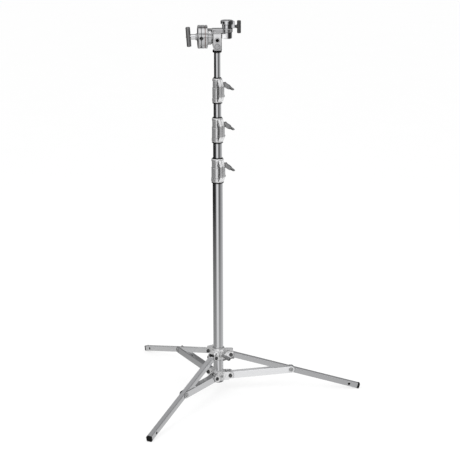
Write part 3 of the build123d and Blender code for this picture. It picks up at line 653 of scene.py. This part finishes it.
def add_pieces(made):
    add_wipers(made)
    add_weld_bead(made)
    add_threads(made)
    add_lever_ribs(made)
    add_receiver_web(made)
    add_rim_lines(made)
    add_head_seams(made)
    add_wheel_hole_liners(made)


# ---- studio ----
def disc_mesh(name, inner, outer, count=96):
    """Flat disc with a small filled hub."""
    work = bmesh.new()
    loops = []
    turns = [2 * math.pi * i / count for i in range(count)]
    for radius in (inner, outer):
        points = [(radius * math.cos(turn), radius * math.sin(turn), 0.0) for turn in turns]
        loops.append([work.verts.new(point) for point in points])
    for i in range(count):
        after = (i + 1) % count
        work.faces.new((loops[0][i], loops[1][i], loops[1][after], loops[0][after]))
    work.faces.new(loops[0])
    mesh = bpy.data.meshes.new(name)
    work.to_mesh(mesh)
    work.free()
    thing = bpy.data.objects.new(name, mesh)
    bpy.context.scene.collection.objects.link(thing)
    return thing


def make_floor():
    """White floor. Mirror-like parts see it fade into the studio with distance, as a paper sweep does."""
    graph = Graph(bpy.data.materials.new("pale_floor"))
    where = graph.place()
    color = graph.mix(graph.noise(where, scale=3.0), grey(0.985), grey(0.995))
    matt = graph.node("BsdfDiffuse", {"Color": color}).outputs[0]
    paper = graph.node("Emission", {"Color": color}).outputs[0]
    lit = graph.node("MixShader", {0: FLOOR_PAPER, 1: matt, 2: paper}).outputs[0]
    reflected = graph.node("Emission", {"Color": grey(FLOOR_GLOW)}).outputs[0]
    clear = graph.node("BsdfTransparent").outputs[0]
    fade = graph.remap(graph.length(where), low=0.4, high=3.6, to_low=FLOOR_SEEN, to_high=0.0)
    in_mirror = graph.node("MixShader", {0: fade, 1: clear, 2: reflected}).outputs[0]
    both = graph.node("MixShader", {0: graph.is_glossy_ray(), 1: lit, 2: in_mirror}).outputs[0]
    graph.node("OutputMaterial", {"Surface": both})
    floor = disc_mesh("floor", FLOOR_HOLE_RADIUS, FLOOR_RADIUS)
    floor.location.z = FLOOR_DROP
    floor.data.materials.append(graph.owner)


def ramp(graph, value, low, high, stops):
    """Grey ramp over value. Stops are (place between low and high, level)."""
    made = graph.node("ValToRGB", {"Fac": graph.remap(value, low, high, 0.0, 1.0)})
    elements = made.color_ramp.elements
    while len(elements) < len(stops):
        elements.new(0.5)
    for element, (at, level) in zip(elements, stops):
        element.position = (at - low) / (high - low)
        element.color = grey(level, BAND_TINT)
    return made.outputs[0]


def make_world():
    """White studio. Reflections see softly banded panels: by azimuth low down, by height overhead."""
    world = bpy.data.worlds.new("studio")
    bpy.context.scene.world = world
    graph = Graph(world)
    x, y, z = graph.axes(graph.node("TexCoord").outputs["Generated"])
    toward = graph.math("MULTIPLY", y, -1.0)
    around = graph.degrees(graph.math("ARCTAN2", x, toward))
    height = graph.degrees(graph.math("ARCSINE", z))
    low = ramp(graph, around, -180.0, 180.0, LOW_BANDS)
    front = ramp(graph, height, -90.0, 90.0, FRONT_BANDS)
    behind = ramp(graph, height, -90.0, 90.0, BEHIND_BANDS)
    facing = graph.remap(toward, low=-0.25, high=0.15, to_low=0.0, to_high=1.0)
    above = graph.mix(facing, behind, front)
    rise = graph.remap(height, low=-4.0, high=10.0, to_low=0.0, to_high=1.0)
    shown = graph.mix(rise, low, above)
    seen = graph.mix(graph.is_glossy_ray(), grey(1.0), shown)
    back = graph.node("Background", {"Color": seen, "Strength": 1.0})
    graph.node("OutputWorld", {"Surface": back.outputs[0]})


def make_light(name, where, aim, size, power):
    """Soft rectangular lamp that isn't seen in reflections."""
    data = bpy.data.lights.new(name, "AREA")
    data.shape = "RECTANGLE"
    data.size, data.size_y = size
    data.energy = power
    lamp = bpy.data.objects.new(name, data)
    lamp.location = where
    lamp.rotation_euler = (Vector(aim) - Vector(where)).to_track_quat("-Z", "Y").to_euler()
    lamp.visible_glossy = False
    bpy.context.scene.collection.objects.link(lamp)


def make_camera():
    """High eye point in front of the stand, with a long lens."""
    data = bpy.data.cameras.new("camera")
    data.sensor_width = CAMERA_SENSOR
    data.lens = CAMERA_LENS
    data.clip_end = CAMERA_FAR
    camera = bpy.data.objects.new("camera", data)
    camera.location = CAMERA_PLACE
    tilt = Matrix.Rotation(math.radians(90.0 - CAMERA_DOWN), 3, "X")
    heading = Matrix.Rotation(math.radians(CAMERA_HEADING), 3, "Z")
    roll = Matrix.Rotation(math.radians(CAMERA_ROLL), 3, "Z")
    camera.rotation_euler = (heading @ tilt @ roll).to_euler()
    bpy.context.scene.collection.objects.link(camera)
    bpy.context.scene.camera = camera


def make_studio():
    make_world()
    make_floor()
    make_light("key", where=(-2.2, -3.0, 3.4), aim=(0, 0, 1.0), size=(1.6, 1.6), power=60.0)
    make_light("fill", where=(3.2, -1.5, 2.4), aim=(0, 0, 0.8), size=(1.2, 2.2), power=30.0)
    make_camera()
    bpy.context.scene.view_settings.view_transform = "Standard"


finishes = make_materials()
dress_cad_nodes(finishes)
dress_chosen_faces(finishes)
add_pieces(finishes)
make_studio()
